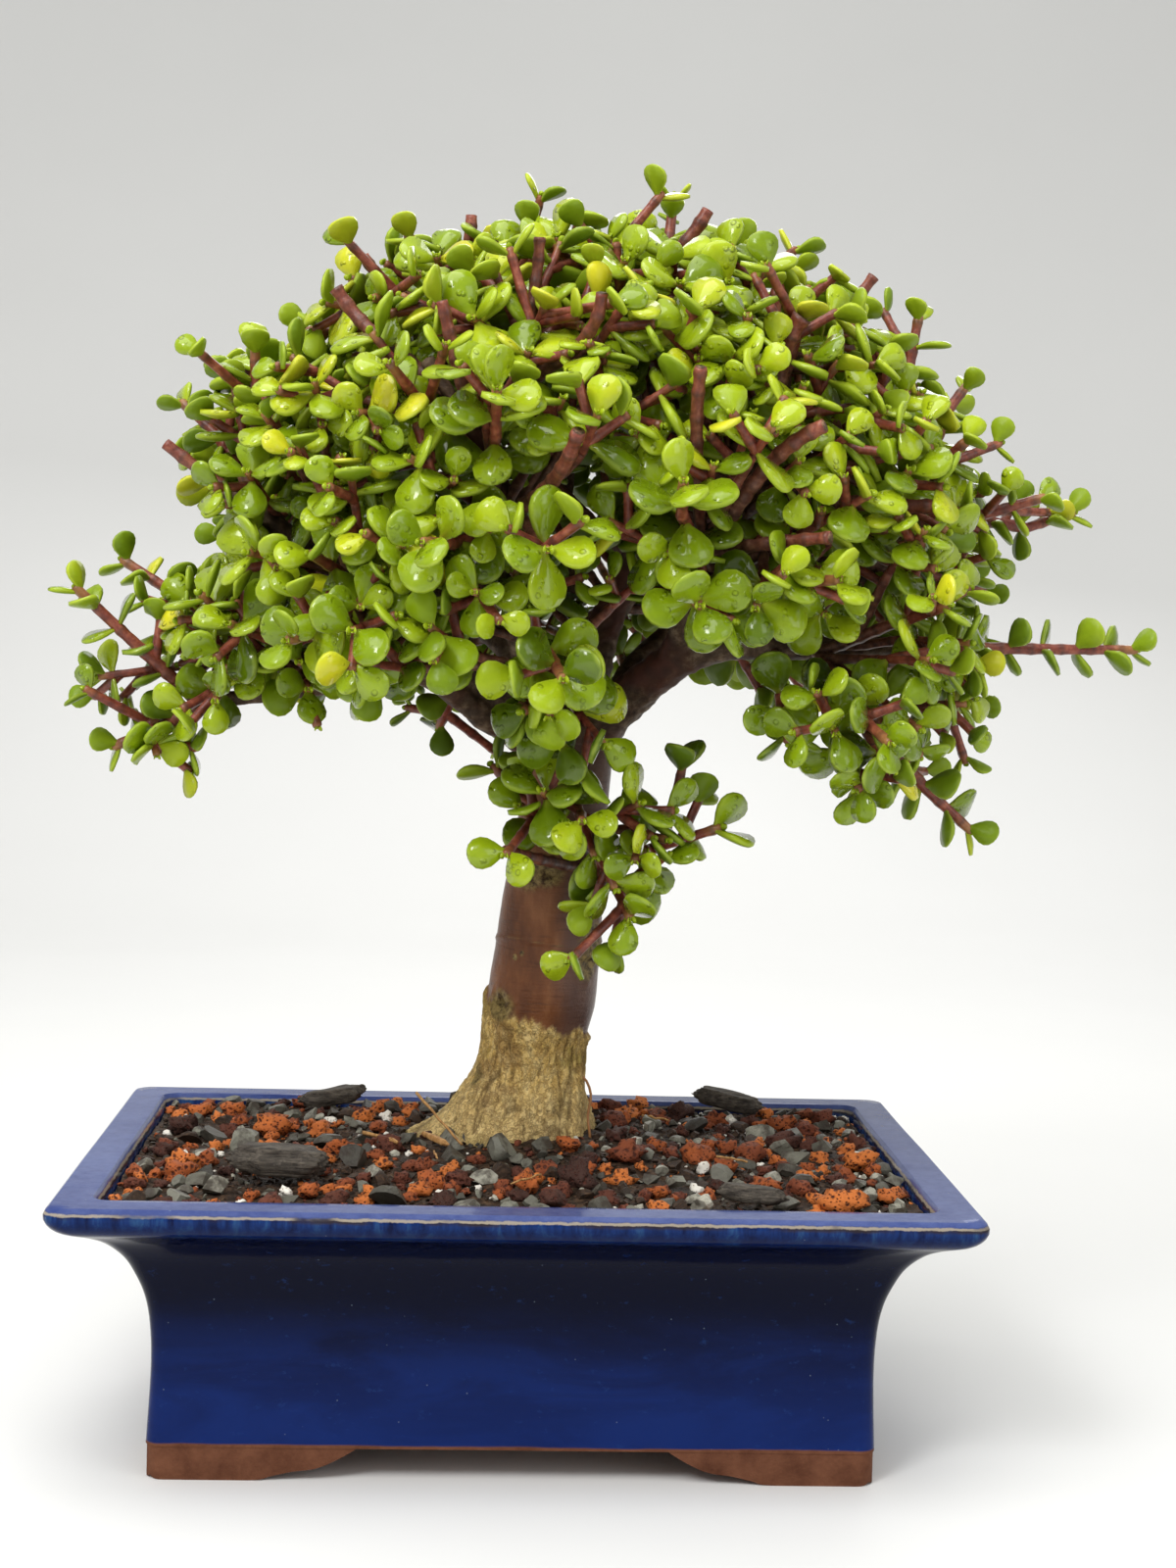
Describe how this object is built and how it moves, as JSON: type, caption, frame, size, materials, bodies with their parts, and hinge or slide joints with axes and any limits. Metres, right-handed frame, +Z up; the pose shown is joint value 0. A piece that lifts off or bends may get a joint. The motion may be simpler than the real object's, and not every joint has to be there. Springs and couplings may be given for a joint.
{
  "type": "dwarf jade bonsai",
  "caption": "Small succulent bonsai tree with a thick trunk and a leafy domed crown, standing in a blue glazed rectangular pot on bracket feet.",
  "frame": {"origin": "on the surface that the feet stand on, under the middle of the whole outline, tree included", "axes": "+Z up, -Y towards the tree's front, +X to the right seen from the front"},
  "size_m": [0.3204, 0.2132, 0.3715],
  "materials": {
    "glaze": "deep blue glaze, unglazed terracotta feet",
    "soil": "damp mix of peat, red lava, grey stone and white perlite",
    "bark": "smooth red-brown bark, rough and tan at the base",
    "leaf": "glossy, fleshy green leaves on maroon stems",
    "bark_chip": "dark, rough bark",
    "splinter": "bare, dry wood",
    "screen": "black plastic mesh"
  },
  "bodies": {
    "root": {"bark_chip_back_left": "bark_chip", "bark_chip_back_right": "bark_chip", "bark_chip_front_left": "bark_chip", "bark_chip_front_right": "bark_chip", "drain_screen_left": "screen", "drain_screen_right": "screen", "pot": "glaze", "soil": "soil", "spray_crown_fill_01": "leaf", "spray_crown_fill_02": "leaf", "spray_crown_fill_03": "leaf", "spray_crown_fill_04": "leaf", "spray_crown_fill_05": "leaf", "spray_crown_fill_06": "leaf", "spray_crown_fill_07": "leaf", "spray_crown_fill_08": "leaf", "spray_crown_fill_09": "leaf", "spray_crown_fill_10": "leaf", "spray_crown_fill_11": "leaf", "spray_crown_fill_12": "leaf", "spray_crown_fill_13": "leaf", "spray_crown_fill_14": "leaf", "spray_crown_fill_15": "leaf", "spray_crown_fill_16": "leaf", "spray_crown_fill_17": "leaf", "spray_crown_fill_18": "leaf", "spray_crown_tip": "leaf", "spray_front_crown": "leaf", "spray_front_crown_left": "leaf", "spray_front_far_left": "leaf", "spray_front_left_low": "leaf", "spray_front_low": "leaf", "spray_front_low_right": "leaf", "spray_front_mid_left": "leaf", "spray_front_middle": "leaf", "spray_front_right": "leaf", "spray_left_crown": "leaf", "spray_left_crown_front": "leaf", "spray_long_right": "leaf", "spray_low_left_hang": "leaf", "spray_low_left_rise": "leaf", "spray_low_right": "leaf", "spray_low_right_front": "leaf", "spray_low_right_hang": "leaf", "spray_mid_left": "leaf", "spray_mid_left_back": "leaf", "spray_right_back": "leaf", "spray_right_crown": "leaf", "spray_right_crown_low": "leaf", "spray_right_fork_high": "leaf", "spray_right_fork_low": "leaf", "spray_right_shoulder": "leaf", "spray_trunk_sprout_left": "leaf", "spray_trunk_sprout_low": "leaf", "spray_trunk_sprout_right": "leaf", "spray_under_left": "leaf", "trunk_and_limbs": "bark", "wood_splinter": "splinter"}
  },
  "joints": []
}
